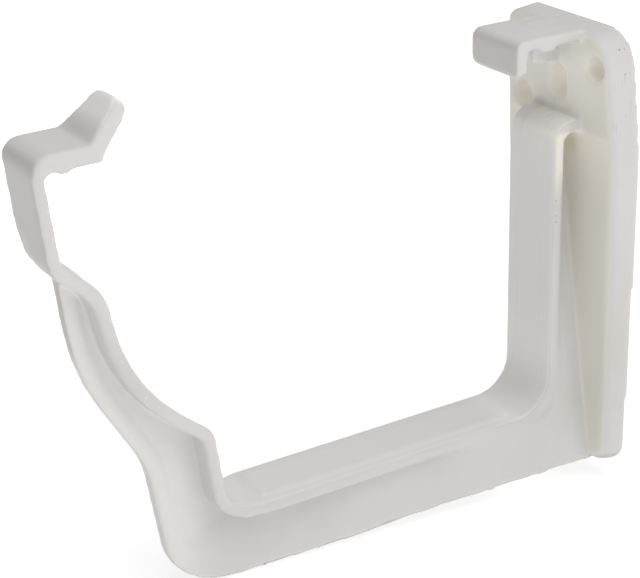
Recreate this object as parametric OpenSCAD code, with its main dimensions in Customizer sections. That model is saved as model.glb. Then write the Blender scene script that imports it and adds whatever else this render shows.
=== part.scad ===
// Fascia bracket for an ogee gutter, moulded in one piece of white uPVC.
// X runs along the fascia, Y points into the wall and Z is up. The origin is on the axis of the
// middle fixing hole, in the plane of the plate's rear rim.

/* [Gutter] */
// Clear width from the upstand to the top of the front strap
gutter_w = 109.9; // [106:0.1:114]
// Clear height from the floor to the underside of the clip
gutter_d = 76.6; // [76:0.1:82]
// How far the front of the gutter stands out past the end of the floor
front_rake = 32.4; // [30:0.1:34]

/* [Seat] */
// Distance from the plate's rear rim to the face of the upstand
standoff = 13.2; // [12:0.1:16]
// Depth of the floor below the middle fixing hole
floor_drop = 70; // [68:0.5:76]
// Height of the shelf that ties the upstand to the plate, above the floor
shelf_h = 63.7; // [60:0.1:65]
// Width of the upstand and the floor
seat_w = 15; // [13:0.1:18]
// Thickness of the flange that follows the gutter
flange_t = 2.4; // [2:0.1:3]
// Radius of the bend from the upstand to the shelf
shelf_r = 4.5; // [3.2:0.1:6]
// Radius inside the corner between the upstand and the floor
seat_r = 8; // [5:0.5:11]
// Radius outside the same corner
seat_outer_r = 5; // [3:0.5:12]
// Radius inside the corner between the floor and the arm
toe_r = 5.5; // [4:0.5:8]

/* [Bearing pads] */
// Width of the raised pad on the floor
pad_w = 10; // [7:0.5:12]
// Length of the raised pad on the floor
pad_len = 60; // [40:1:62]
// Distance from the upstand to the pad
pad_gap = 9; // [9:0.5:12]
// Height of the pad above the floor
pad_h = 0.5; // [0.3:0.1:0.8]
// Corner radius of the pad
pad_r = 1.2; // [0.5:0.1:3]

/* [Ogee arm] */
// Width of the arm and the strap
arm_w = 12.4; // [10:0.1:14]
// Length over which the floor narrows to the width of the arm
narrow_len = 9; // [5:0.5:14]
// Height of the shoulder above the floor
shoulder_h = 18.2; // [16:0.1:20]
// How far the shoulder stands out past the end of the floor
shoulder_out = 2.4; // [1.5:0.1:3.5]
// Radius of the shoulder
shoulder_r = 4; // [3:0.1:6]
// Rise from the shoulder to the belly's corner
belly_rise = 13.8; // [12:0.1:15]
// Distance of the belly's corner behind the front strap
belly_in = 13; // [12:0.1:14]
// Radius of the belly
belly_r = 37; // [30:1:38]
// Rise from the belly's corner to the neck
neck_rise = 20; // [18:0.1:21]
// Distance of the neck behind the front strap
neck_in = 9.9; // [9:0.1:10.5]
// Radius of the neck
neck_r = 11; // [8:0.5:12]
// Rise from the neck to the strap's foot
strap_foot_rise = 6.7; // [5.5:0.1:8]
// Distance of the strap's foot behind its top
strap_lean = 1.9; // [1:0.1:2.5]
// Radius of the strap's foot
strap_foot_r = 4.2; // [2:0.1:5]

/* [Clip and lever] */
// Length of the clip over the gutter's edge
clip_len = 11; // [9:0.1:13]
// Thickness of the clip
clip_t = 3.2; // [2.4:0.1:3.6]
// How much wider the clip is than the strap, on each side
clip_step = 0.8; // [0.3:0.1:1.5]
// Radius inside the corner of the strap and the clip
clip_r = 1.4; // [0.8:0.1:2]
// Radius outside the same corner
clip_outer_r = 3.6; // [2:0.1:4.5]
// Thickness of the lever
lever_t = 3.1; // [2.2:0.1:3.6]
// Length of the lever beyond the clip
lever_len = 10.8; // [8:0.1:13]
// Angle of the lever above the clip
lever_angle = 48; // [40:0.2:60]
// Depth of the lever's root inside the end of the clip
lever_root = 0.3; // [0.1:0.1:0.6]
// Width of the lever's tip
lever_tip_w = 8.4; // [7.2:0.1:10]
// Corner radius of the lever's tip
lever_tip_r = 3.2; // [1:0.1:3.4]
// Width of the nib under the clip
nib_w = 1.9; // [1:0.1:3]
// Depth of the nib
nib_h = 0.7; // [0.4:0.1:1]
// Distance of the nib from the strap
nib_gap = 2.9; // [2.5:0.1:4]

/* [Web] */
// Thickness of the web that stiffens the flange
web_t = 2.1; // [1.6:0.1:3]
// Thickness of the bead along the web's outer edge
bead_t = 3.2; // [2.6:0.1:4]
// Width of the bead
bead_w = 2.7; // [2:0.1:4]
// Width of the groove between the bead and the web
groove_w = 0.8; // [0.5:0.1:1.2]
// Depth of the groove below each face of the web
groove_d = 0.35; // [0.2:0.05:0.5]
// Distance of the web's upper end behind the front strap
web_top_in = 2.6; // [2.2:0.1:3]
// Height of the web's outer shoulder above the floor
brow_h = 34.8; // [33:0.1:36]
// Distance of the web's outer shoulder behind the front strap
brow_in = 4.95; // [4.5:0.1:5.5]
// Radius of the web's outer shoulder
brow_r = 45; // [30:1:55]
// Height of the web's outer waist above the floor
waist_h = 12.7; // [11:0.1:14]
// Distance of the web's outer waist behind the front strap
waist_in = 17.7; // [17:0.1:18.5]
// Radius of the web's outer waist
waist_r = 18; // [10:1:24]
// Depth of the heel below the floor
heel_drop = 16.6; // [15:0.1:18]
// Distance of the heel behind the front strap
heel_in = 22.2; // [21:0.1:24]
// Radius of the heel
heel_r = 11.5; // [8:0.5:13]

/* [Flared root] */
// Half the width of the root at the foot of the plate
root_half = 11.1; // [9:0.1:12.5]
// Angle at which the root's sides close towards the front
root_plan_angle = 5.7; // [5:0.1:7]
// Angle at which the root's sides close upwards
root_rise_angle = 8.2; // [7:0.1:10]
// Wall of the hollow in the root
root_wall = 2.4; // [2:0.1:3]
// Depth of the hollow, from the plate's rear rim
root_depth = 55; // [30:1:60]

/* [Plate] */
// Height of the plate's top above the middle fixing hole
plate_up = 12.25; // [11:0.05:14]
// Depth of the plate's bottom below the floor
plate_drop = 12.6; // [11:0.1:14]
// From the middle to the plate's side at the top, on the side of the high hole
plate_top_half = 14.6; // [14.2:0.1:16]
// How much further out that side stands at its widest
plate_flare = 3.6; // [2:0.1:5]
// Depth of the widest place below the middle fixing hole
plate_wide_down = 14.5; // [12:0.1:20]
// From the middle to the plate's side at the top, on the side of the low hole
plate_straight_half = 17.5; // [16.5:0.1:19]
// How much narrower each side of the plate is at the bottom
plate_foot_in = 1.5; // [1:0.1:2.5]
// Radius of the top corner on the side of the high hole
plate_top_r = 8; // [4:0.5:10]
// Radius of the other top corner
plate_straight_r = 3; // [1.5:0.5:6]
// Radius of the widest corners
plate_wide_r = 30; // [10:1:40]
// Radius of the bottom corners
plate_foot_r = 4.5; // [2:0.5:6]
// Depth of the plate from front to rear, at the middle fixing hole
plate_d = 6.9; // [6:0.1:8]
// Lean of the plate's front face
plate_lean = 1.45; // [0.5:0.05:1.6]
// Thickness of the plate's front and of its rim
plate_wall = 2.4; // [2:0.1:2.8]
// Radius of the front edge
plate_edge_r = 1.4; // [0.8:0.1:1.8]
// Draft of the plate's sides from the rear rim to the front edge
plate_draft = 0.5; // [0.2:0.1:0.8]
// Thickness of the ribs behind the plate
rib_t = 1.6; // [1.2:0.1:2]
// Number of ribs across the plate
rib_count = 4; // [2:1:6]

/* [Fixing holes] */
// Diameter of the two outer holes
hole_dia = 5.5; // [4.5:0.1:6]
// Distance of the outer holes from the middle one, along the fascia
hole_side = 11.25; // [10.8:0.05:11.6]
// Step of the outer holes above and below the middle one
hole_step = 5.2; // [4:0.1:6]
// Width of the middle slot
slot_w = 5.4; // [4.5:0.1:6]
// Height of the middle slot
slot_h = 7.4; // [6.2:0.1:8]
// Wall of the boss around each hole
boss_wall = 1.8; // [1.4:0.1:2.2]

/* [Hook] */
// Width of the hook
hook_w = 14.6; // [12:0.1:18]
// Distance from the plate's rear rim to the hook's outer face
hook_reach = 22.8; // [21:0.1:26]
// Thickness of the hook's roof
hook_roof_t = 2.1; // [1.8:0.1:2.6]
// Thickness of the hook's leg
hook_leg_t = 2.5; // [2.2:0.1:3.4]
// Height of the leg from the roof's top
hook_leg_h = 7.4; // [6.2:0.1:8]
// Radius of the hook's outer corner
hook_r = 2; // [1:0.1:2.6]
// Radius of the leg's rounded end
hook_end_r = 1; // [0.6:0.1:1.1]
// Corner radius of the leg, seen from the front
hook_side_r = 1.4; // [1:0.1:3]
// Width of the nib under the roof
hook_nib_w = 3.2; // [2:0.1:4]
// Depth of the nib
hook_nib_h = 0.9; // [0.5:0.1:1.2]
// Distance of the nib from the leg
hook_nib_gap = 3.4; // [3:0.1:5]
// Thickness of the gusset under the roof
gusset_t = 1.6; // [1.2:0.1:2.4]
// Length of the gusset from the plate's front
gusset_len = 7.2; // [5:0.1:8]
// Height of the gusset below the roof's top
gusset_h = 7.4; // [6.8:0.1:8]
// Radius of the gusset's corner
gusset_r = 1.2; // [0.5:0.1:2]

/* [Hidden] */

// Colour of the moulding
upvc = [0.93, 0.92, 0.90];
// Largest turn between two points of a rounded corner, in degrees
arc_step = 9;
// How far one form runs into the next, so that they join
sink = 0.6;
// How far inside the clip's sides the lever starts
lever_side = 0.05;
// A length greater than any size of the bracket
beyond = 300;

wall_y = -standoff;
floor_z = -floor_drop;
front_y = wall_y - gutter_w;
toe_y = front_y + front_rake;
shoulder_z = floor_z + shoulder_h;
belly_z = shoulder_z + belly_rise;
neck_z = belly_z + neck_rise;
clip_half = arm_w / 2 + clip_step;
plate_down = floor_drop + plate_drop;
plate_wide_half = plate_top_half + plate_flare;
plate_front_y = -plate_d;
plate_foot_front_y = plate_front_y + plate_down * tan(plate_lean);

// Corners of the face that the gutter lies against, from the shelf to the end of the clip:
// Y, Z, the radius on the gutter's side and the radius on the outer side.
flange_corners = [
    [plate_front_y + sink, floor_z + shelf_h, 0, 0],
    [wall_y, floor_z + shelf_h, shelf_r, shelf_r - flange_t],
    [wall_y, floor_z, seat_r, seat_outer_r],
    [toe_y, floor_z, toe_r, toe_r + flange_t],
    [toe_y - shoulder_out, shoulder_z, shoulder_r, shoulder_r - flange_t],
    [front_y + belly_in, belly_z, belly_r, belly_r + flange_t],
    [front_y + neck_in, neck_z, neck_r, neck_r - flange_t],
    [front_y + strap_lean, neck_z + strap_foot_rise, strap_foot_r, strap_foot_r + flange_t],
    [front_y, floor_z + gutter_d, clip_r, clip_outer_r],
    [front_y + clip_len, floor_z + gutter_d, 0, 0]
];
// The corner of the strap and the clip
clip = 8;
// Corners of the flange's outer side, which is further out over the thicker clip
outer_corners = [
    for (i = [0:len(flange_corners) - 1])
        let (row = beside(flange_corners, flange_t, 3)[i])
        i < clip ? row : [row[0], row[1] + clip_t - flange_t, row[2]]
];
// The last corner of the flange that the web follows
neck = 6;
// The middle of the flange's thickness, from the shelf to the strap's foot
core_corners = beside([for (i = [0:neck + 1]) flange_corners[i]], flange_t / 2, 3);
// Where the web's outer edge starts, on the way from the neck to the strap
web_top = crossing(
    place(core_corners[neck]),
    place(core_corners[neck + 1]) - place(core_corners[neck]),
    [front_y + web_top_in, 0],
    [0, 1]
);

// Corners of the web's outer edge, from the strap to the foot of the plate: Y, Z and radius.
edge_corners = [
    [web_top[0], web_top[1], 0],
    [front_y + brow_in, floor_z + brow_h, brow_r],
    [front_y + waist_in, floor_z + waist_h, waist_r],
    [front_y + heel_in, floor_z - heel_drop, heel_r],
    [plate_foot_front_y + sink, -plate_down, 0]
];

// Corners of the plate's outline, clockwise from the top left: X, Z and radius.
plate_corners = [
    [-plate_straight_half, plate_up, plate_straight_r],
    [plate_top_half, plate_up, plate_top_r],
    [plate_wide_half, -plate_wide_down, plate_wide_r],
    [plate_wide_half - plate_foot_in, -plate_down, plate_foot_r],
    [plate_foot_in - plate_straight_half, -plate_down, plate_foot_r],
    [-plate_straight_half, -plate_wide_down, plate_wide_r]
];

// Places of the round fixing holes
hole_places = [[-hole_side, -hole_step], [hole_side, hole_step]];

function unit(v) = v / norm(v);
function left(v) = [-v[1], v[0]];
function cross_of(u, v) = u[0] * v[1] - u[1] * v[0];
function place(row) = [row[0], row[1]];
function backwards(list) = [for (i = [len(list) - 1:-1:0]) list[i]];

// Where the line through p along u meets the line through q along v
function crossing(p, u, q, v) = p + u * cross_of(q - p, v) / cross_of(u, v);

// The corner p between a and b, with both its sides moved to the left by d
function moved(a, p, b, d) =
    let (u = unit(p - a), v = unit(b - p))
    crossing(p + left(u) * d, u, p + left(v) * d, v);

// An open row of corners moved to the left by d; radii come from the given column
function beside(rows, d, column) = [
    for (i = [0:len(rows) - 1])
        let (
            p = place(rows[i]),
            spot = i == 0 ? p + left(unit(place(rows[1]) - p)) * d
                : i == len(rows) - 1 ? p + left(unit(p - place(rows[i - 1]))) * d
                : moved(place(rows[i - 1]), p, place(rows[i + 1]), d)
        )
        [spot[0], spot[1], rows[i][column]]
];

// The points of one rounded corner p between a and b
function rounded(a, p, b, r) =
    let (
        u = unit(p - a),
        v = unit(b - p),
        turn = atan2(cross_of(u, v), u * v),
        start = p - u * r * tan(abs(turn) / 2),
        centre = start + left(u) * sign(turn) * r,
        from = atan2(start[1] - centre[1], start[0] - centre[0]),
        steps = ceil(abs(turn) / arc_step)
    )
    r == 0 ? [p] : [for (k = [0:steps]) centre + r * [cos(from + turn * k / steps), sin(from + turn * k / steps)]];

// An open row of corners as a smooth line
function line_of(rows) = [
    for (i = [0:len(rows) - 1])
        each i == 0 || i == len(rows) - 1 ? [place(rows[i])]
            : rounded(place(rows[i - 1]), place(rows[i]), place(rows[i + 1]), rows[i][2])
];

// A closed row of corners as a smooth ring
function ring_of(rows) =
    let (n = len(rows))
    [for (i = [0:n - 1]) each rounded(place(rows[(i + n - 1) % n]), place(rows[i]), place(rows[(i + 1) % n]), rows[i][2])];

// A closed clockwise row of corners moved inwards by d, with its radii smaller by d
function shrunk(rows, d) =
    let (n = len(rows))
    [
        for (i = [0:n - 1])
            let (spot = moved(place(rows[(i + n - 1) % n]), place(rows[i]), place(rows[(i + 1) % n]), -d))
            [spot[0], spot[1], max(rows[i][2] - d, 0.3)]
    ];

// A side profile in Y and Z, given its width along X
module across(width) {
    rotate([90, 0, 90])
        linear_extrude(width, center = true)
            children();
}

// A front outline in X and Z, run from the plane at y towards the front
module forward(y, depth) {
    translate([0, y, 0])
        rotate([90, 0, 0])
            linear_extrude(depth)
                children();
}

// The band between a row of corners and the same row moved aside by its thickness
module band(rows, thickness, column) {
    polygon(concat(line_of(rows), backwards(line_of(beside(rows, thickness, column)))));
}

// Plan of the flange: wide along the floor and narrower along the arm
module flange_plan() {
    polygon([
        [seat_w / 2, 0],
        [seat_w / 2, toe_y + narrow_len],
        [arm_w / 2, toe_y],
        [arm_w / 2, front_y - beyond],
        [-arm_w / 2, front_y - beyond],
        [-arm_w / 2, toe_y],
        [-seat_w / 2, toe_y + narrow_len],
        [-seat_w / 2, 0]
    ]);
}

// The flange from the shelf down the upstand, along the floor and up the ogee front to the clip,
// with the nib under the clip
module flange() {
    intersection() {
        across(2 * seat_w) {
            polygon(concat(line_of(flange_corners), backwards(line_of(outer_corners))));
            translate([front_y + nib_gap, floor_z + gutter_d - nib_h])
                square([nib_w, nib_h + sink]);
        }
        union() {
            translate([0, 0, -beyond / 2])
                linear_extrude(beyond)
                    flange_plan();
            translate([-clip_half, front_y - beyond, floor_z + gutter_d - sink])
                cube([2 * clip_half, beyond + clip_len + sink, beyond]);
        }
    }
}

// The raised pad on the floor
module pad() {
    rows = [
        [-pad_w / 2, wall_y - pad_gap, pad_r],
        [pad_w / 2, wall_y - pad_gap, pad_r],
        [pad_w / 2, wall_y - pad_gap - pad_len, pad_r],
        [-pad_w / 2, wall_y - pad_gap - pad_len, pad_r]
    ];
    translate([0, 0, floor_z - sink])
        linear_extrude(pad_h + sink)
            polygon(ring_of(rows));
}

// The lever that lifts the clip off the gutter's edge
module lever() {
    start_half = clip_half - lever_side;
    rows = [
        [-start_half, 0, 0],
        [-lever_tip_w / 2, lever_len, lever_tip_r],
        [lever_tip_w / 2, lever_len, lever_tip_r],
        [start_half, 0, 0]
    ];
    translate([0, front_y + clip_len - lever_root, floor_z + gutter_d + lever_root])
        rotate([lever_angle, 0, 0])
            linear_extrude(lever_t)
                polygon(ring_of(rows));
}

// The web between the flange and its own outer edge
module web_profile() {
    rows = concat([for (i = [0:neck]) core_corners[i]], [edge_corners[0]]);
    along_flange = line_of([for (row = rows) [row[0], row[1], row[2]]]);
    polygon(concat(line_of(edge_corners), [for (i = [0:len(along_flange) - 2]) along_flange[i]]));
}

// The web, with a bead along its outer edge and a groove beside the bead
module web() {
    difference() {
        across(web_t)
            web_profile();
        for (side = [-1, 1])
            translate([side * web_t / 2, 0, 0])
                across(2 * groove_d)
                    band(beside(edge_corners, bead_w, 2), groove_w, 2);
    }
    across(bead_t)
        intersection() {
            web_profile();
            band(edge_corners, bead_w, 2);
        }
}

// All that lies inside one flank of the root, moved inwards by the given wall
module flank(wall) {
    translate([root_half, plate_foot_front_y, -plate_down])
        rotate([0, -root_rise_angle, -root_plan_angle])
            translate([-beyond - wall, -beyond, -beyond])
                cube([beyond, 2 * beyond, 2 * beyond]);
}

// The web's root, which flares towards the foot of the plate
module root() {
    intersection() {
        across(4 * root_half)
            web_profile();
        flank(0);
        mirror([1, 0, 0])
            flank(0);
    }
}

// The hollow behind the root, open at the plate's rear
module root_hollow() {
    rows = [
        [beyond, floor_z + shelf_h - flange_t - root_wall, 0],
        [wall_y + flange_t, floor_z + shelf_h - flange_t - root_wall, 0],
        [wall_y + flange_t, floor_z - flange_t, 0],
        [-root_depth, floor_z - flange_t, 0],
        [-root_depth, -plate_down + root_wall, 0],
        [beyond, -plate_down + root_wall, 0]
    ];
    intersection() {
        across(4 * root_half)
            polygon([for (row = rows) place(row)]);
        flank(root_wall);
        mirror([1, 0, 0])
            flank(root_wall);
    }
}

// Carries a form from an upright plane onto the leaning front face
module on_front() {
    translate([0, plate_front_y, 0])
        rotate([plate_lean, 0, 0])
            children();
}

// The plate's outer form, with drafted sides and a rounded front edge
module plate_form() {
    hull() {
        forward(0, sink)
            polygon(ring_of(plate_corners));
        for (angle = [0:30:90])
            on_front()
                forward(plate_edge_r * (1 - sin(angle)) + sink / 10, sink / 10)
                    polygon(ring_of(shrunk(plate_corners, plate_draft + plate_edge_r * (1 - cos(angle)))));
    }
}

// The pan behind the plate
module plate_pan() {
    on_front()
        forward(beyond, beyond - plate_wall)
            polygon(ring_of(shrunk(plate_corners, plate_wall)));
}

// The middle slot's section, larger all round by the given margin
module slot_form(margin) {
    run = (slot_h - slot_w) / 2;
    for (side = [-1, 1])
        translate([0, side * run])
            circle(r = slot_w / 2 + margin, $fn = 48);
    square([slot_w + 2 * margin, 2 * run], center = true);
}

// Ribs across the pan and a boss round each hole
module pan_ribs() {
    step = (plate_down - plate_wide_down) / rib_count;
    for (i = [0:rib_count - 1])
        forward(0, plate_d)
            translate([0, -plate_wide_down - i * step])
                square([2 * plate_wide_half, rib_t], center = true);
    for (spot = hole_places)
        forward(0, plate_d)
            translate(spot)
                circle(r = hole_dia / 2 + boss_wall, $fn = 48);
    forward(0, plate_d)
        slot_form(boss_wall);
}

// The three fixing holes, cut right through
module fixing_holes() {
    for (spot = hole_places)
        translate([spot[0], 0, spot[1]])
            rotate([90, 0, 0])
                cylinder(h = 2 * (plate_d + sink), r = hole_dia / 2, center = true, $fn = 48);
    forward(sink, plate_d + 2 * sink)
        slot_form(0);
}

// The plate with its pan, ribs and bosses
module plate() {
    difference() {
        plate_form();
        difference() {
            plate_pan();
            pan_ribs();
        }
    }
}

// The hook over the gutter's back edge, with its nib and gusset
module hook() {
    leg_y = -hook_reach;
    under_z = plate_up - hook_roof_t;
    nib_y = leg_y + hook_leg_t + hook_nib_gap;
    rows = [
        [plate_front_y + sink, plate_up, 0],
        [plate_front_y + sink, under_z, 0],
        [nib_y + hook_nib_w, under_z, 0],
        [nib_y + hook_nib_w, under_z - hook_nib_h, 0],
        [nib_y, under_z - hook_nib_h, 0],
        [nib_y, under_z, 0],
        [leg_y + hook_leg_t, under_z, 0],
        [leg_y + hook_leg_t, plate_up - hook_leg_h, hook_end_r],
        [leg_y, plate_up - hook_leg_h, hook_end_r],
        [leg_y, plate_up, hook_r]
    ];
    front = [
        [-hook_w / 2, plate_up + sink, 0],
        [hook_w / 2, plate_up + sink, 0],
        [hook_w / 2, plate_up - hook_leg_h, hook_side_r],
        [-hook_w / 2, plate_up - hook_leg_h, hook_side_r]
    ];
    gusset = [
        [plate_front_y + sink, plate_up - hook_roof_t / 2, 0],
        [plate_front_y + sink, plate_up - gusset_h, 0],
        [plate_front_y - gusset_len, plate_up - gusset_h, gusset_r],
        [plate_front_y - gusset_len, plate_up - hook_roof_t / 2, 0]
    ];
    intersection() {
        across(2 * hook_w)
            polygon(ring_of(rows));
        forward(0, beyond)
            polygon(ring_of(front));
    }
    across(gusset_t)
        polygon(ring_of(gusset));
}

module bracket() {
    color(upvc)
        difference() {
            union() {
                flange();
                pad();
                lever();
                web();
                root();
                plate();
                hook();
            }
            root_hollow();
            fixing_holes();
        }
}

bracket();
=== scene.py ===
"""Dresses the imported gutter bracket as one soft-edged moulding of white uPVC, in a pale studio."""

import logging
import math
from dataclasses import dataclass, field
from enum import Enum, IntEnum
from typing import List, Sequence, Tuple

import bmesh
import bpy
from mathutils import Matrix, Vector


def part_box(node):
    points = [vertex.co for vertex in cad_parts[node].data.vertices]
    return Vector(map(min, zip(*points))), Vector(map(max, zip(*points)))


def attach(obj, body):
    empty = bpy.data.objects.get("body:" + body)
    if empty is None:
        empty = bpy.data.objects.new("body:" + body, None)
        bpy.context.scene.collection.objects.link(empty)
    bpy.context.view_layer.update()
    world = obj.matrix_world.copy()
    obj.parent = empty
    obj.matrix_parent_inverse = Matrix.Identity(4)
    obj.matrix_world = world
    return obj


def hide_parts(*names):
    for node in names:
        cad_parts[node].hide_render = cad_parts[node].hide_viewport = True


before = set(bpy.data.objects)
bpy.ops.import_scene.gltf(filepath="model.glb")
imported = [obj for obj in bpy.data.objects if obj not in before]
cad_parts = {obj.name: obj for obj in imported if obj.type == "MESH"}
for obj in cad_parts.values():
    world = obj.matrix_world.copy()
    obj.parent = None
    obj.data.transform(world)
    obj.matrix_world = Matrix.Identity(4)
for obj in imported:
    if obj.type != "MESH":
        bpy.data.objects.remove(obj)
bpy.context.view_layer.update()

MM = 0.001
NODE = "bracket"
BODY = "root"
LOG = logging.getLogger("gutter_bracket")

Colour = Tuple[float, float, float]
Point = Tuple[float, float, float]
Spot = Tuple[float, float]


class Axis(IntEnum):
    """An axis of the row frame."""

    X = 0
    Y = 1
    Z = 2


class LightRole(Enum):
    """What a studio light does."""

    KEY = "key"
    TOP = "top"


def limited(share: float) -> float:
    """Keeps a share from 0 to 1."""
    return min(max(share, 0.0), 1.0)


def eased(share: float) -> float:
    """Softens both ends of a share from 0 to 1."""
    return share * share * (3 - 2 * share)


def heading(azimuth: float, elevation: float) -> Vector:
    """Gives the direction from the bracket towards a camera or a light.

    Args:
        azimuth: Angle round the bracket from -Y towards +X, in radians.
        elevation: Angle above the level, in radians.

    Returns:
        The unit direction.
    """
    return Vector((
        math.sin(azimuth) * math.cos(elevation),
        -math.cos(azimuth) * math.cos(elevation),
        math.sin(elevation),
    ))


@dataclass
class Graph:
    """Short ways to add shader nodes to one tree."""

    tree: bpy.types.NodeTree
    place: bpy.types.NodeSocket = field(init=False)
    normal: bpy.types.NodeSocket = field(init=False)
    sky: bpy.types.NodeSocket = field(init=False)

    def __post_init__(self) -> None:
        """Adds the inputs that all the masks use."""
        where = self.tree.nodes.new("ShaderNodeTexCoord")
        self.place = where.outputs["Object"]
        self.normal = where.outputs["Normal"]
        self.sky = where.outputs["Generated"]

    def link(self, start: bpy.types.NodeSocket, end: bpy.types.NodeSocket) -> None:
        """Joins two sockets."""
        self.tree.links.new(start, end)

    def feed(self, socket: bpy.types.NodeSocket, value: object) -> None:
        """Puts a value on a socket.

        Args:
            socket: The input socket.
            value: A socket to link, a number or a colour.
        """
        if isinstance(value, bpy.types.NodeSocket):
            self.link(value, socket)
        elif isinstance(value, tuple):
            socket.default_value = (*value, 1.0)
        else:
            socket.default_value = value

    def noise(self, vector: bpy.types.NodeSocket, scale: float, detail: float) -> bpy.types.NodeSocket:
        """Adds a noise texture.

        Args:
            vector: Where the noise is read.
            scale: Waves to the metre.
            detail: Number of finer layers.

        Returns:
            The noise, from 0 to 1.
        """
        node = self.tree.nodes.new("ShaderNodeTexNoise")
        node.inputs["Scale"].default_value = scale
        node.inputs["Detail"].default_value = detail
        self.link(vector, node.inputs["Vector"])
        return node.outputs["Fac"]

    def ramp(
        self, value: bpy.types.NodeSocket, start: float, end: float, low: float = 0.0, high: float = 1.0
    ) -> bpy.types.NodeSocket:
        """Maps a range of values onto another, smoothly and within its ends.

        Args:
            value: The value to map.
            start: Value that gives low.
            end: Value that gives high.
            low: Result at start.
            high: Result at end.

        Returns:
            The mapped value.
        """
        node = self.tree.nodes.new("ShaderNodeMapRange")
        node.interpolation_type = "SMOOTHSTEP"
        self.link(value, node.inputs["Value"])
        for name, number in (("From Min", start), ("From Max", end), ("To Min", low), ("To Max", high)):
            node.inputs[name].default_value = number
        return node.outputs["Result"]

    def math(self, operation: str, *values: object) -> bpy.types.NodeSocket:
        """Adds a math node.

        Args:
            operation: Blender's name for the operation.
            values: Sockets or numbers.

        Returns:
            The result.
        """
        node = self.tree.nodes.new("ShaderNodeMath")
        node.operation = operation
        for socket, value in zip(node.inputs, values):
            self.feed(socket, value)
        return node.outputs["Value"]

    def times(self, first: object, second: object) -> bpy.types.NodeSocket:
        """Multiplies two values."""
        return self.math("MULTIPLY", first, second)

    def axis(self, vector: bpy.types.NodeSocket, index: Axis) -> bpy.types.NodeSocket:
        """Takes one part of a vector."""
        node = self.tree.nodes.new("ShaderNodeSeparateXYZ")
        self.link(vector, node.inputs["Vector"])
        return node.outputs[index]

    def distance(self, point: Point, start: object = None) -> bpy.types.NodeSocket:
        """Gives the distance from a point in the row frame.

        Args:
            point: The point, in metres.
            start: Socket to measure from, or None for the surface's own place.

        Returns:
            The distance.
        """
        node = self.tree.nodes.new("ShaderNodeVectorMath")
        node.operation = "DISTANCE"
        self.link(start or self.place, node.inputs[0])
        node.inputs[1].default_value = point
        return node.outputs["Value"]

    def stretched(self, scale: Point) -> bpy.types.NodeSocket:
        """Gives the place with each axis scaled, for drawn-out textures."""
        node = self.tree.nodes.new("ShaderNodeVectorMath")
        node.operation = "MULTIPLY"
        self.link(self.place, node.inputs[0])
        node.inputs[1].default_value = scale
        return node.outputs["Vector"]

    def mix(self, factor: bpy.types.NodeSocket, first: object, second: object) -> bpy.types.NodeSocket:
        """Mixes two colours.

        Args:
            factor: 0 for the first and 1 for the second.
            first: A colour or a socket.
            second: A colour or a socket.

        Returns:
            The mixed colour.
        """
        node = self.tree.nodes.new("ShaderNodeMixRGB")
        self.link(factor, node.inputs["Fac"])
        self.feed(node.inputs["Color1"], first)
        self.feed(node.inputs["Color2"], second)
        return node.outputs["Color"]

    def bump(
        self, height: bpy.types.NodeSocket, strength: float, depth: float, normal: object = None
    ) -> bpy.types.NodeSocket:
        """Adds a bump.

        Args:
            height: Height of the relief, from 0 to 1.
            strength: Share of the relief that shows.
            depth: Depth of the relief.
            normal: Normal to start from.

        Returns:
            The bumped normal.
        """
        node = self.tree.nodes.new("ShaderNodeBump")
        node.inputs["Strength"].default_value = strength
        node.inputs["Distance"].default_value = depth
        self.link(height, node.inputs["Height"])
        if normal is not None:
            self.link(normal, node.inputs["Normal"])
        return node.outputs["Normal"]


@dataclass(frozen=True)
class PhotoCamera:
    """The camera of the photograph, solved from the bracket's straight edges.

    Angles are in degrees, lengths in metres, and the focal length is in pixels of the frame.
    """

    azimuth: float = 58.629
    elevation: float = 23.432
    roll: float = 1.616
    focal_px: float = 1855.924
    frame_width_px: float = 640.0
    sensor_mm: float = 36.0
    eye: Point = (0.28349, -0.23770, 0.11245)
    near: float = 0.01
    far: float = 20.0

    def axes(self) -> Matrix:
        """Works out the camera's own axes.

        Returns:
            A rotation whose columns are the camera's right, up and backward directions.
        """
        azimuth = math.radians(self.azimuth)
        elevation = math.radians(self.elevation)
        roll = math.radians(self.roll)
        backward = heading(azimuth, elevation)
        level = Vector((math.cos(azimuth), math.sin(azimuth), 0.0))
        steep = backward.cross(level)
        right = math.cos(roll) * level - math.sin(roll) * steep
        up = math.sin(roll) * level + math.cos(roll) * steep
        return Matrix((right, up, backward)).transposed()

    def build(self) -> bpy.types.Object:
        """Makes the camera and hands it to the scene.

        Returns:
            The camera object.
        """
        data = bpy.data.cameras.new("photo_camera")
        data.sensor_fit = "HORIZONTAL"
        data.sensor_width = self.sensor_mm
        data.lens = self.focal_px / self.frame_width_px * self.sensor_mm
        data.clip_start = self.near
        data.clip_end = self.far
        camera = bpy.data.objects.new("photo_camera", data)
        camera.matrix_world = Matrix.Translation(self.eye) @ self.axes().to_4x4()
        bpy.context.scene.collection.objects.link(camera)
        bpy.context.scene.camera = camera
        return camera


@dataclass(frozen=True)
class StudioLight:
    """One soft square light that looks at the middle of the bracket.

    Angles are in degrees and lengths in metres.
    """

    role: LightRole
    azimuth: float
    elevation: float
    distance: float
    size: float
    watts: float
    colour: Colour = (1.0, 1.0, 1.0)

    def build(self, target: Vector) -> bpy.types.Object:
        """Makes the light.

        Args:
            target: The point that the light looks at.

        Returns:
            The light object.
        """
        towards = heading(math.radians(self.azimuth), math.radians(self.elevation))
        data = bpy.data.lights.new(f"light_{self.role.value}", "AREA")
        data.shape = "SQUARE"
        data.size = self.size
        data.energy = self.watts
        data.color = self.colour
        light = bpy.data.objects.new(f"light_{self.role.value}", data)
        light.location = target + towards * self.distance
        light.rotation_euler = towards.to_track_quat("Z", "Y").to_euler()
        bpy.context.scene.collection.objects.link(light)
        return light


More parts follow.
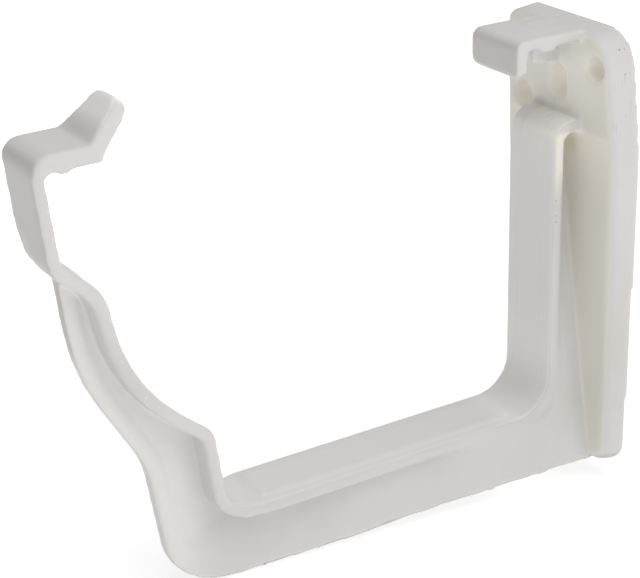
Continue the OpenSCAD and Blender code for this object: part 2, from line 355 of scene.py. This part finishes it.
@dataclass
class Studio:
    """The pale floor, the soft surround and the soft lights.

    The floor glows a little more away from the bracket, so that it stays even. Lengths are in metres.
    """

    floor_half: float = 4.0
    floor_gap: float = 0.7 * MM
    floor_colour: Colour = (0.50, 0.50, 0.50)
    glow_near: float = 0.68
    glow_far: float = 0.90
    glow_start: float = 0.08
    glow_end: float = 0.26
    glow_middle: Spot = (0.0, -0.06)
    floor_roughness: float = 0.9
    surround: Colour = (1.0, 1.0, 1.0)
    surround_front: float = 0.24
    surround_back: float = 0.56
    surround_turn: float = 0.8
    tone_curve: str = "Standard"
    lights: List[StudioLight] = field(default_factory=lambda: [
        StudioLight(LightRole.KEY, 96.0, 40.0, 1.0, 0.9, 1.35),
        StudioLight(LightRole.TOP, 90.0, 74.0, 1.0, 0.9, 4.6),
    ])

    def _floor(self, level: float) -> bpy.types.Object:
        """Makes the floor.

        Args:
            level: Height of the floor.

        Returns:
            The floor object.
        """
        half = self.floor_half
        mesh = bpy.data.meshes.new("floor")
        corners = [(x, y, level) for x, y in ((-half, -half), (half, -half), (half, half), (-half, half))]
        mesh.from_pydata(corners, [], [(0, 1, 2, 3)])
        floor = bpy.data.objects.new("floor", mesh)
        bpy.context.scene.collection.objects.link(floor)
        material = bpy.data.materials.new("pale_floor")
        material.use_nodes = True
        shader = material.node_tree.nodes["Principled BSDF"]
        shader.inputs["Base Color"].default_value = (*self.floor_colour, 1.0)
        shader.inputs["Roughness"].default_value = self.floor_roughness
        shader.inputs["Specular IOR Level"].default_value = 0.0
        shader.inputs["Emission Color"].default_value = (*self.surround, 1.0)
        graph = Graph(material.node_tree)
        away = graph.distance((*self.glow_middle, level))
        glow = graph.ramp(away, self.glow_start, self.glow_end, self.glow_near, self.glow_far)
        graph.link(glow, shader.inputs["Emission Strength"])
        mesh.materials.append(material)
        return floor

    def _surround(self) -> None:
        """Sets the soft white world round the bracket, a little brighter behind it."""
        world = bpy.data.worlds.new("surround")
        world.use_nodes = True
        background = world.node_tree.nodes["Background"]
        background.inputs["Color"].default_value = (*self.surround, 1.0)
        graph = Graph(world.node_tree)
        turn = self.surround_turn
        back = graph.ramp(graph.axis(graph.sky, Axis.Y), -turn, turn, self.surround_front, self.surround_back)
        graph.link(back, background.inputs["Strength"])
        bpy.context.scene.world = world

    def build(self, low: Vector, high: Vector) -> None:
        """Makes the whole studio.

        Args:
            low: Lowest corner of the bracket.
            high: Highest corner of the bracket.
        """
        bpy.context.scene.view_settings.view_transform = self.tone_curve
        self._surround()
        self._floor(low.z - self.floor_gap)
        middle = (low + high) / 2
        for light in self.lights:
            light.build(middle)
            LOG.info("light %s", light.role.value)


@dataclass(frozen=True)
class Mark:
    """A small round speck, pale spot or patch of painted shade on the surface, in millimetres."""

    place: Point
    radius: float
    colour: Colour
    strength: float
    softness: float = 0.5


class Source(Enum):
    """What a band of a region is measured on."""

    PLACE = "place"
    FACING = "facing"


@dataclass(frozen=True)
class Band:
    """A soft edge of a region: nothing at start and all at full, on one axis.

    A place is in millimetres, and a facing is one part of the surface's normal.
    """

    source: Source
    axis: Axis
    start: float
    full: float


def at(axis: Axis, start: float, full: float) -> Band:
    """Makes a band on the place, in millimetres."""
    return Band(Source.PLACE, axis, start, full)


def facing(axis: Axis, start: float, full: float) -> Band:
    """Makes a band on one part of the normal."""
    return Band(Source.FACING, axis, start, full)


@dataclass(frozen=True)
class Region:
    """A part of the surface with a tint of painted light and shade, where all its bands overlap: a lighter tint is
    painted light, a darker one painted shade.

    The glow is painted light, an emission that stands in for light coming through the thin plastic.
    """

    name: str
    colour: Colour
    strength: float
    bands: Tuple[Band, ...]
    glow: float = 0.0


SPECK: Colour = (0.30, 0.26, 0.20)
# A colour a little lighter than the plastic, for small pale spots.
PALE_SPOT: Colour = (0.86, 0.85, 0.84)
# Painted shade: the yellow-brown of the patches round the holes and in the recesses of the plate and the web.
PAINTED_SHADE: Colour = (0.62, 0.58, 0.46)

FACE_FRONT: Band = facing(Axis.Y, -0.5, -0.9)
FACE_INWARD: Band = facing(Axis.X, 0.7, 0.4)
FACE_DOWN: Band = facing(Axis.Z, -0.15, -0.75)
ON_PLATE: Band = at(Axis.Y, -9.5, -7.2)
ON_WEB: Band = at(Axis.X, 3.4, 2.2)
BEHIND_ARM: Band = at(Axis.Y, -60.0, -40.0)

# Painted light and shade: each region is painted lighter where it gets too little light and darker where it gets
# too much, and every glow is painted light.
REGIONS: Tuple[Region, ...] = (
    # Painted light and shade: the plate's front face is painted lighter to make up for its shade, and yellower
    # like the shade in its recess.
    Region("plate_front", (0.77, 0.745, 0.68), 1.0, (ON_PLATE, FACE_FRONT)),
    # Painted light: the recess low on the plate's front is painted lighter and glows a little.
    Region("recess", (0.765, 0.745, 0.69), 0.75, (
        ON_PLATE, at(Axis.Z, -7.0, 6.0), facing(Axis.Y, -0.4, -0.8), at(Axis.X, 14.0, 8.0)), 0.02),
    # Painted shade: the strap's outer face is painted darker, since it stands in more light than the other front
    # faces.
    Region("strap", (0.55, 0.54, 0.525), 1.0, (at(Axis.Y, -117.0, -119.0), facing(Axis.Y, -0.5, -0.95))),
    # Painted light: the lever's faces are painted lighter and glow a little.
    Region("lever", (0.84, 0.825, 0.81), 0.9, (
        at(Axis.Y, -112.5, -109.5), at(Axis.Y, -95.0, -98.0), at(Axis.Z, 4.0, 7.0), FACE_INWARD), 0.03),
    # Painted light: the seat's faces are painted lighter.
    Region("seat", (0.76, 0.745, 0.73), 1.0, (
        at(Axis.Y, -92.0, -87.0), at(Axis.Y, -7.2, -8.5), at(Axis.Z, -4.0, -6.0), FACE_INWARD)),
    # Painted shade: the hook leg's front face is painted darker.
    Region("hook_leg", (0.60, 0.585, 0.565), 1.0, (
        at(Axis.Y, -20.0, -22.0), BEHIND_ARM, at(Axis.Z, -1.0, 1.0), FACE_FRONT)),
    # Painted shade: every downward face is painted a little darker.
    Region("under", (0.50, 0.49, 0.485), 0.25, (FACE_DOWN,)),
    # Painted shade: the downward faces along the web's lower edge are painted darker.
    Region("lower_edge", (0.45, 0.44, 0.435), 0.8, (at(Axis.Z, -78.0, -81.0), FACE_DOWN)),
    # Painted light: the shelf's faces are painted lighter and glow a little.
    Region("shelf", (0.84, 0.825, 0.79), 0.9, (
        at(Axis.Y, -7.0, -8.0), at(Axis.Y, -14.0, -12.5), at(Axis.Z, -4.0, -6.0), at(Axis.Z, -14.0, -8.0),
        FACE_INWARD), 0.03),
    # Painted light: the faces of the bend are painted lighter and glow a little.
    Region("bend", (0.82, 0.81, 0.79), 0.8, (
        at(Axis.Y, -30.0, -20.0), at(Axis.Y, -10.0, -12.0), at(Axis.Z, -42.0, -58.0), FACE_INWARD), 0.02),
    # Painted light: the pocket under the shelf is painted lighter and yellower, and glows, to fill its shade.
    Region("pocket", (0.82, 0.79, 0.71), 0.9, (
        at(Axis.Y, -13.5, -12.4), at(Axis.Y, -6.5, -7.0), at(Axis.Z, -7.5, -9.0), at(Axis.Z, -24.0, -14.0)), 0.08),
    # Painted light: the web's near face is painted lighter and glows, to lift its shade near the upstand.
    Region("web_painted_light", (0.76, 0.74, 0.735), 0.9, (
        ON_WEB, at(Axis.Y, -88.0, -60.0), at(Axis.Y, -9.0, -14.0), facing(Axis.X, 0.5, 0.8)), 0.025),
    # Painted light: the arm's web is painted lighter and glows, to lift its shade.
    Region("arm_web", (0.78, 0.765, 0.75), 0.8, (
        ON_WEB, at(Axis.Y, -90.0, -100.0), facing(Axis.X, 0.3, 0.7)), 0.03),
)


@dataclass(frozen=True)
class Hole:
    """A fixing hole, by its middle and how far the painted light on its wall reaches. All in millimetres."""

    middle: Spot
    inner: float
    outer: float


HOLES: Tuple[Hole, ...] = (
    Hole((-11.25, -5.2), 2.6, 3.3),
    Hole((11.25, 5.2), 2.6, 3.3),
    Hole((0.0, 0.0), 3.4, 4.4),
)


@dataclass(frozen=True)
class Upvc:
    """White moulded uPVC with a slight gloss, a fine skin, faint streaks, specks and pale spots, and painted light
    and shade: lighter and darker regions, glows, and yellow-brown patches of painted shade.
    """

    name: str = "white_upvc"
    pale: Colour = (0.70, 0.685, 0.675)
    deep: Colour = (0.655, 0.64, 0.62)
    streak: Colour = (0.45, 0.42, 0.36)
    # Painted light: the lighter colour of the hole walls, which is also the colour of every painted glow.
    painted_light_colour: Colour = (0.82, 0.795, 0.73)
    roughness_low: float = 0.34
    roughness_high: float = 0.50
    specular: float = 0.28
    scatter: float = 0.12
    scatter_spread: Point = (1.0, 0.9, 0.75)
    scatter_depth: float = 1.5 * MM
    mottle_scale: float = 38.0
    mottle_detail: float = 5.0
    mottle_range: Spot = (0.25, 0.6)
    skin_scale: float = 900.0
    skin_detail: float = 3.0
    skin_strength: float = 0.25
    skin_depth: float = 0.05 * MM
    wave_scale: float = 120.0
    wave_detail: float = 2.0
    wave_strength: float = 0.5
    wave_depth: float = 0.12 * MM
    plate_side_x: float = 14.2 * MM
    scratch_top: float = 6.0 * MM
    scratch_low: float = -9.0 * MM
    scratch_fade: float = 3 * MM
    scratch_stretch: Point = (2200.0, 2200.0, 45.0)
    scratch_range: Spot = (0.60, 0.74)
    scratch_strength: float = 0.28
    strip_half: float = 3.9 * MM
    strip_edge: float = 0.3 * MM
    strip_depth: float = 0.12 * MM
    upstand_front: float = -14.5 * MM
    regions: Tuple[Region, ...] = REGIONS
    # Painted light: how strongly the hole walls glow.
    hollow_glow: float = 0.075
    hollow_depth: Band = at(Axis.Y, -7.1, -6.7)
    holes: Tuple[Hole, ...] = HOLES
    marks: Tuple[Mark, ...] = (
        Mark((13.74, -2.91, 9.01), 0.34, SPECK, 0.75),
        Mark((13.92, -1.78, 8.95), 0.26, SPECK, 0.6),
        Mark((15.46, -2.61, 4.37), 0.30, SPECK, 0.65),
        Mark((7.50, -12.66, -22.43), 0.25, SPECK, 0.5),
        Mark((7.50, -12.56, -25.73), 0.25, SPECK, 0.5),
        Mark((7.50, -12.51, -27.05), 0.30, SPECK, 0.55),
        Mark((6.20, -106.68, -40.53), 0.45, PALE_SPOT, 0.35),
        Mark((6.20, -104.18, -43.12), 0.35, PALE_SPOT, 0.3),
        Mark((4.38, -22.44, -69.50), 0.55, PALE_SPOT, 0.6),
        Mark((4.66, -81.83, -69.60), 0.60, PALE_SPOT, 0.6),
        # Painted shade: soft yellow-brown patches in the web's recess, round the plate's holes and under the
        # shelf.
        Mark((1.05, -100.0, -46.0), 1.8, PAINTED_SHADE, 0.35, 1.0),
        Mark((-11.25, -6.9, -3.6), 3.6, PAINTED_SHADE, 0.45, 1.0),
        Mark((0.0, -6.9, 1.5), 4.6, PAINTED_SHADE, 0.35, 1.0),
        Mark((4.5, -6.8, -12.0), 3.4, PAINTED_SHADE, 0.55, 1.0),
    )

    def material(self) -> bpy.types.Material:
        """Builds the finish from procedural nodes.

        Returns:
            The material.
        """
        material = bpy.data.materials.new(self.name)
        material.use_nodes = True
        shader = material.node_tree.nodes["Principled BSDF"]
        graph = Graph(material.node_tree)
        mottle = graph.noise(graph.place, self.mottle_scale, self.mottle_detail)
        tint = graph.mix(graph.ramp(mottle, *self.mottle_range), self.deep, self.pale)
        # Painted light: the hole walls are made lighter and glow.
        hollows = self._hollows(graph)
        tint = graph.mix(hollows, tint, self.painted_light_colour)
        glow = graph.times(hollows, self.hollow_glow)
        # Painted light and shade: each region's tint, and its glow.
        for region in self.regions:
            mask = self._region(graph, region)
            tint = graph.mix(graph.times(mask, region.strength), tint, region.colour)
            if region.glow > 0.0:
                glow = graph.math("ADD", glow, graph.times(mask, region.glow))
        tint = graph.mix(self._scratches(graph), tint, self.streak)
        for mark in self.marks:
            tint = graph.mix(self._mark(graph, mark), tint, mark.colour)
        graph.link(tint, shader.inputs["Base Color"])
        gloss = graph.ramp(mottle, 0.0, 1.0, self.roughness_low, self.roughness_high)
        graph.link(gloss, shader.inputs["Roughness"])
        skin = graph.noise(graph.place, self.skin_scale, self.skin_detail)
        normal = graph.bump(skin, self.skin_strength, self.skin_depth)
        wave = graph.noise(graph.place, self.wave_scale, self.wave_detail)
        normal = graph.bump(wave, self.wave_strength, self.wave_depth, normal)
        normal = graph.bump(self._strip(graph), 1.0, self.strip_depth, normal)
        graph.link(normal, shader.inputs["Normal"])
        # Painted light: the colour of all the glows.
        graph.feed(shader.inputs["Emission Color"], self.painted_light_colour)
        graph.link(glow, shader.inputs["Emission Strength"])
        shader.inputs["Specular IOR Level"].default_value = self.specular
        shader.inputs["Subsurface Weight"].default_value = self.scatter
        shader.inputs["Subsurface Radius"].default_value = self.scatter_spread
        shader.inputs["Subsurface Scale"].default_value = self.scatter_depth
        return material

    def _region(self, graph: Graph, region: Region) -> bpy.types.NodeSocket:
        """Masks one region.

        Args:
            graph: The node tree to build in.
            region: The region.

        Returns:
            The mask, from 0 to 1.
        """
        mask = None
        for band in region.bands:
            edge = self._band(graph, band)
            mask = edge if mask is None else graph.times(mask, edge)
        return mask

    def _band(self, graph: Graph, band: Band) -> bpy.types.NodeSocket:
        """Masks one band.

        Args:
            graph: The node tree to build in.
            band: The band.

        Returns:
            The mask, from 0 to 1.
        """
        if band.source is Source.PLACE:
            return graph.ramp(graph.axis(graph.place, band.axis), band.start * MM, band.full * MM)
        return graph.ramp(graph.axis(graph.normal, band.axis), band.start, band.full)

    def _hollows(self, graph: Graph) -> bpy.types.NodeSocket:
        """Masks the fixing holes, whose walls get painted light: a lighter colour and a glow that stand in for
        light coming through the thin plastic.

        Args:
            graph: The node tree to build in.

        Returns:
            The mask.
        """
        flat = graph.stretched((1.0, 0.0, 1.0))
        mask = None
        for hole in self.holes:
            x, z = hole.middle
            away = graph.distance((x * MM, 0.0, z * MM), flat)
            one = graph.ramp(away, hole.inner * MM, hole.outer * MM, 1.0, 0.0)
            mask = one if mask is None else graph.math("MAXIMUM", mask, one)
        return graph.times(mask, self._band(graph, self.hollow_depth))

    def _scratches(self, graph: Graph) -> bpy.types.NodeSocket:
        """Masks the fine upright scratches on the side of the plate.

        Args:
            graph: The node tree to build in.

        Returns:
            The mask.
        """
        lines = graph.noise(graph.stretched(self.scratch_stretch), 1.0, 1.0)
        lines = graph.ramp(lines, *self.scratch_range, 0.0, self.scratch_strength)
        side = graph.ramp(graph.axis(graph.place, Axis.X), self.plate_side_x, self.plate_side_x + MM)
        height = graph.axis(graph.place, Axis.Z)
        top = graph.ramp(height, self.scratch_top - self.scratch_fade, self.scratch_top, 1.0, 0.0)
        low = graph.ramp(height, self.scratch_low, self.scratch_low + self.scratch_fade)
        return graph.times(graph.times(lines, side), graph.times(top, low))

    def _strip(self, graph: Graph) -> bpy.types.NodeSocket:
        """Gives the height of the faint raised strip down the upstand.

        Args:
            graph: The node tree to build in.

        Returns:
            The height, from 0 to 1.
        """
        across = graph.math("ABSOLUTE", graph.axis(graph.place, Axis.X))
        strip = graph.ramp(across, self.strip_half - self.strip_edge, self.strip_half + self.strip_edge, 1.0, 0.0)
        upstand = graph.ramp(graph.axis(graph.place, Axis.Y), self.upstand_front, self.upstand_front + MM)
        return graph.times(strip, upstand)

    def _mark(self, graph: Graph, mark: Mark) -> bpy.types.NodeSocket:
        """Masks one mark.

        Args:
            graph: The node tree to build in.
            mark: The mark.

        Returns:
            The mask.
        """
        away = graph.distance(tuple(value * MM for value in mark.place))
        core = mark.radius * (1 - mark.softness) * MM
        return graph.ramp(away, core, mark.radius * MM, mark.strength, 0.0)


@dataclass
class ArmFace:
    """The face of the arm on the gutter's side, from the shoulder to the strap's foot.

    The corners are Y, Z and radius in millimetres, as the solid has them. On the slopes the flange
    thins from its near edge to its far edge. The dips are height and depth in millimetres.
    """

    corners: Tuple[Point, ...] = (
        (-90.7, -66.0, 0.0),
        (-93.1, -51.8, 4.0),
        (-110.1, -38.0, 37.0),
        (-113.2, -18.0, 11.0),
        (-121.2, -11.3, 4.2),
        (-122.0, -4.0, 0.0),
    )
    dips: Tuple[Spot, ...] = ((-62.0, 0.0), (-56.5, 0.7), (-52.5, 1.5), (-49.5, 1.5), (-45.0, 0.7),
                              (-40.0, 0.0), (-19.0, 0.0), (-16.0, 0.4), (-13.5, 0.3), (-11.0, 0.0))
    reach: float = 2.0
    far_side: float = -6.2
    near_side: float = 6.2
    turns: int = 12

    def _line(self) -> List[Vector]:
        """Follows the face's rounded corners.

        Returns:
            Points in Y and Z, in millimetres.
        """
        points = []
        spots = [Vector(row[:2]) for row in self.corners]
        for index, (spot, row) in enumerate(zip(spots, self.corners)):
            if row[2] == 0.0:
                points.append(spot)
                continue
            before = (spot - spots[index - 1]).normalized()
            after = (spots[index + 1] - spot).normalized()
            half = before.angle_signed(after) / 2
            cut = row[2] * math.tan(abs(half))
            for step in range(self.turns + 1):
                share = step / self.turns
                start = spot - before * cut
                end = spot + after * cut
                middle = start.lerp(spot, share)
                points.append(middle.lerp(spot.lerp(end, share), share))
        return points

    def _dip(self, height: float) -> float:
        """Gives the depth of the dip at a height, in millimetres."""
        for (low, first), (high, second) in zip(self.dips, self.dips[1:]):
            if low <= height <= high:
                return first + (second - first) * eased((height - low) / (high - low))
        return 0.0

    def thin(self, mesh: bpy.types.Mesh) -> None:
        """Thins the flange on the slopes.

        Args:
            mesh: The moulding's mesh, in metres.
        """
        line = self._line()
        low = min(self.dips)[0]
        high = max(self.dips)[0]
        back = max(point.x for point in line) + self.reach
        for vertex in mesh.vertices:
            x, y, z = (value / MM for value in vertex.co)
            if not (low < z < high and y < back):
                continue
            spot = Vector((y, z))
            best = None
            for start, end in zip(line, line[1:]):
                run = end - start
                share = limited((spot - start).dot(run) / run.length_squared)
                foot = start + run * share
                away = (spot - foot).length
                if best is None or away < best[0]:
                    side = Vector((-run.y, run.x)).normalized()
                    best = (away, (spot - foot).dot(side), side)
            depth = best[1]
            if best[0] > self.reach or depth < -self.reach / 2:
                continue
            fade = 1.0 - max(depth, 0.0) / self.reach
            share = limited((self.near_side - x) / (self.near_side - self.far_side))
            amount = self._dip(z) * fade * share
            move = best[2] * amount * MM
            vertex.co.y += move.x
            vertex.co.z += move.y


@dataclass(frozen=True)
class Lean:
    """A small push of one region, as the photographed moulding leans from the ideal solid.

    The move is in millimetres, and all the bands are on the place.
    """

    name: str
    move: Point
    bands: Tuple[Band, ...]

    def _share(self, place: Point) -> float:
        """Gives the share of the push at a place, from 0 to 1."""
        total = 1.0
        for band in self.bands:
            total *= eased(limited((place[band.axis] - band.start) / (band.full - band.start)))
        return total

    def push(self, mesh: bpy.types.Mesh) -> None:
        """Pushes the region.

        Args:
            mesh: The moulding's mesh, in metres.
        """
        for vertex in mesh.vertices:
            share = self._share(tuple(value / MM for value in vertex.co))
            if share > 0.0:
                vertex.co += Vector(self.move) * (share * MM)


LEANS: Tuple[Lean, ...] = (
    Lean("arm", (0.0, 0.2, 0.0), (at(Axis.Y, -80.0, -92.0),)),
    Lean("strap_foot", (0.0, 0.5, 0.0), (
        at(Axis.X, 0.0, -5.0), at(Axis.Y, -100.0, -106.0), at(Axis.Z, -6.0, -10.0), at(Axis.Z, -24.0, -19.0))),
    Lean("lever_tip", (0.0, -0.1, -0.45), (
        at(Axis.Y, -113.5, -110.0), at(Axis.Y, -95.0, -97.0), at(Axis.Z, 10.0, 16.0))),
    Lean("lever", (0.0, 0.15, 0.0), (
        at(Axis.Y, -113.5, -109.5), at(Axis.Y, -95.0, -97.0), at(Axis.Z, 2.0, 4.0))),
    Lean("hook_far", (-0.25, -0.1, 0.1), (
        at(Axis.X, -2.0, -9.0), at(Axis.Y, -7.0, -14.0), BEHIND_ARM, at(Axis.Z, 2.0, 8.0))),
    Lean("hook_leg", (0.0, -0.25, 0.0), (at(Axis.Y, -18.5, -21.5), BEHIND_ARM, at(Axis.Z, 0.0, 3.0))),
)


@dataclass(frozen=True)
class LowerEdge:
    """The straight lower edge of the web, drawn out true after the softening.

    The line starts at front, in Y and Z, and rises by slope. All lengths are in millimetres.
    """

    front: Spot = (-86.0, -85.98)
    slope: float = 0.0413
    drop_front: float = 0.30
    drop_back: float = 0.85
    length: float = 84.0
    flat: float = 0.25
    squash: float = 0.1
    reach: float = 3.0
    half: float = 6.0
    heel: float = -93.0
    fade: float = 5.0

    def draw(self, mesh: bpy.types.Mesh) -> None:
        """Flattens the edge onto its line and moves it down a little.

        Args:
            mesh: The moulding's mesh, in metres.
        """
        for vertex in mesh.vertices:
            x, y, z = (value / MM for value in vertex.co)
            line = self.front[1] + (y - self.front[0]) * self.slope
            height = z - line
            if abs(x) > self.half or y < self.heel or height > self.reach:
                continue
            along = limited((y - self.front[0]) / self.length)
            base = -(self.drop_front + (self.drop_back - self.drop_front) * along)
            top = base + self.squash * self.flat
            if height <= self.flat:
                new = base + self.squash * height
            else:
                new = top + (self.reach - top) * (height - self.flat) / (self.reach - self.flat)
            share = min((y - self.heel) / self.fade, 1.0)
            vertex.co.z = (z + (line + new - z) * share) * MM


@dataclass
class Moulding:
    """The bracket itself, with the soft edges of a moulded piece."""

    source: bpy.types.Object
    finish: Upvc = field(default_factory=Upvc)
    arm: ArmFace = field(default_factory=ArmFace)
    lower: LowerEdge = field(default_factory=LowerEdge)
    leans: Tuple[Lean, ...] = LEANS
    voxel: float = 0.55 * MM
    smoothing: float = 0.5
    smoothing_rounds: int = 6
    swell: float = 0.12 * MM
    weld: float = 0.001 * MM

    def _copy(self) -> bpy.types.Object:
        """Copies the solid's mesh into a new object.

        Returns:
            The new object, welded and with no material.
        """
        mesh = self.source.data.copy()
        mesh.name = "moulding"
        mesh.materials.clear()
        body = bmesh.new()
        body.from_mesh(mesh)
        bmesh.ops.remove_doubles(body, verts=body.verts, dist=self.weld)
        body.to_mesh(mesh)
        body.free()
        moulding = bpy.data.objects.new("moulding", mesh)
        bpy.context.scene.collection.objects.link(moulding)
        return moulding

    def _soften(self, moulding: bpy.types.Object) -> None:
        """Rounds all the edges a little, as a mould does.

        Args:
            moulding: The object to soften. Its modifiers are applied.
        """
        remesh = moulding.modifiers.new("even_mesh", "REMESH")
        remesh.mode = "VOXEL"
        remesh.voxel_size = self.voxel
        remesh.adaptivity = 0.0
        smooth = moulding.modifiers.new("soft_edges", "SMOOTH")
        smooth.factor = self.smoothing
        smooth.iterations = self.smoothing_rounds
        swell = moulding.modifiers.new("swell", "DISPLACE")
        swell.mid_level = 0.0
        swell.strength = self.swell
        graph = bpy.context.evaluated_depsgraph_get()
        result = bpy.data.meshes.new_from_object(moulding.evaluated_get(graph))
        moulding.modifiers.clear()
        moulding.data = result

    def build(self) -> bpy.types.Object:
        """Makes the moulding and puts it in the place of the solid.

        Returns:
            The moulding.
        """
        moulding = self._copy()
        self._soften(moulding)
        self.arm.thin(moulding.data)
        self.lower.draw(moulding.data)
        for lean in self.leans:
            lean.push(moulding.data)
        moulding.data.shade_smooth()
        moulding.data.materials.clear()
        moulding.data.materials.append(self.finish.material())
        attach(moulding, BODY)
        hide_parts(NODE)
        LOG.info("moulding: %d faces", len(moulding.data.polygons))
        return moulding


@dataclass
class PartingRidge:
    """The thin ridge that the mould's parting leaves in the middle plane.

    Each row is a line of points, Y and Z, on a face of the moulding. All in millimetres.
    """

    rows: Tuple[Tuple[Spot, ...], ...] = (
        ((-6.9, -3.2), (-6.9, -4.2), (-6.9, -6.3)),
        ((-6.6, -6.22), (-8.7, -6.22), (-9.7, -6.32), (-10.95, -6.85), (-12.0, -7.8), (-12.7, -9.1)),
        ((-22.9, 10.6), (-22.9, 8.4), (-22.9, 6.4)),
    )
    # Painted highlight: the ridge is painted lighter than the moulding, so that it shows as a light line.
    finish: Upvc = Upvc("white_upvc_ridge_painted_highlight", (0.84, 0.83, 0.80), (0.80, 0.79, 0.76), regions=(), marks=())
    half_width: float = 0.18
    height: float = 0.26
    sink: float = 0.05
    end_share: float = 0.15
    sides: int = 4

    def _section(self, row: Sequence[Spot], index: int) -> List[Point]:
        """Gives one cross-section of a ridge.

        Args:
            row: The ridge's line.
            index: The point of the line.

        Returns:
            Points across the ridge, in metres.
        """
        before = Vector(row[max(index - 1, 0)])
        after = Vector(row[min(index + 1, len(row) - 1)])
        run = (after - before).normalized()
        out = Vector((run.y, -run.x))
        fade = self.end_share if index in (0, len(row) - 1) else 1.0
        points = []
        for step in range(self.sides + 1):
            angle = math.pi * step / self.sides
            lift = out * (self.height * math.sin(angle) * fade - self.sink)
            points.append((
                self.half_width * math.cos(angle) * fade * MM,
                (row[index][0] + lift.x) * MM,
                (row[index][1] + lift.y) * MM,
            ))
        return points

    def build(self) -> bpy.types.Object:
        """Makes the ridges as one piece.

        Returns:
            The ridges.
        """
        points: List[Point] = []
        faces = []
        for row in self.rows:
            first = len(points)
            for index in range(len(row)):
                points.extend(self._section(row, index))
            wide = self.sides + 1
            for index in range(len(row) - 1):
                for step in range(self.sides):
                    corner = first + index * wide + step
                    faces.append((corner, corner + 1, corner + wide + 1, corner + wide))
        mesh = bpy.data.meshes.new("parting_ridge")
        mesh.from_pydata(points, [], faces)
        mesh.shade_smooth()
        mesh.materials.append(self.finish.material())
        ridge = bpy.data.objects.new("parting_ridge", mesh)
        bpy.context.scene.collection.objects.link(ridge)
        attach(ridge, BODY)
        LOG.info("parting ridge: %d faces", len(faces))
        return ridge


def main() -> None:
    """Builds the camera, the moulding, its ridge and the studio, in that order."""
    logging.basicConfig(level=logging.INFO, format="%(name)s: %(message)s")
    PhotoCamera().build()
    Moulding(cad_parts[NODE]).build()
    PartingRidge().build()
    low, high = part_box(NODE)
    Studio().build(low, high)


if __name__ == "__main__":
    main()
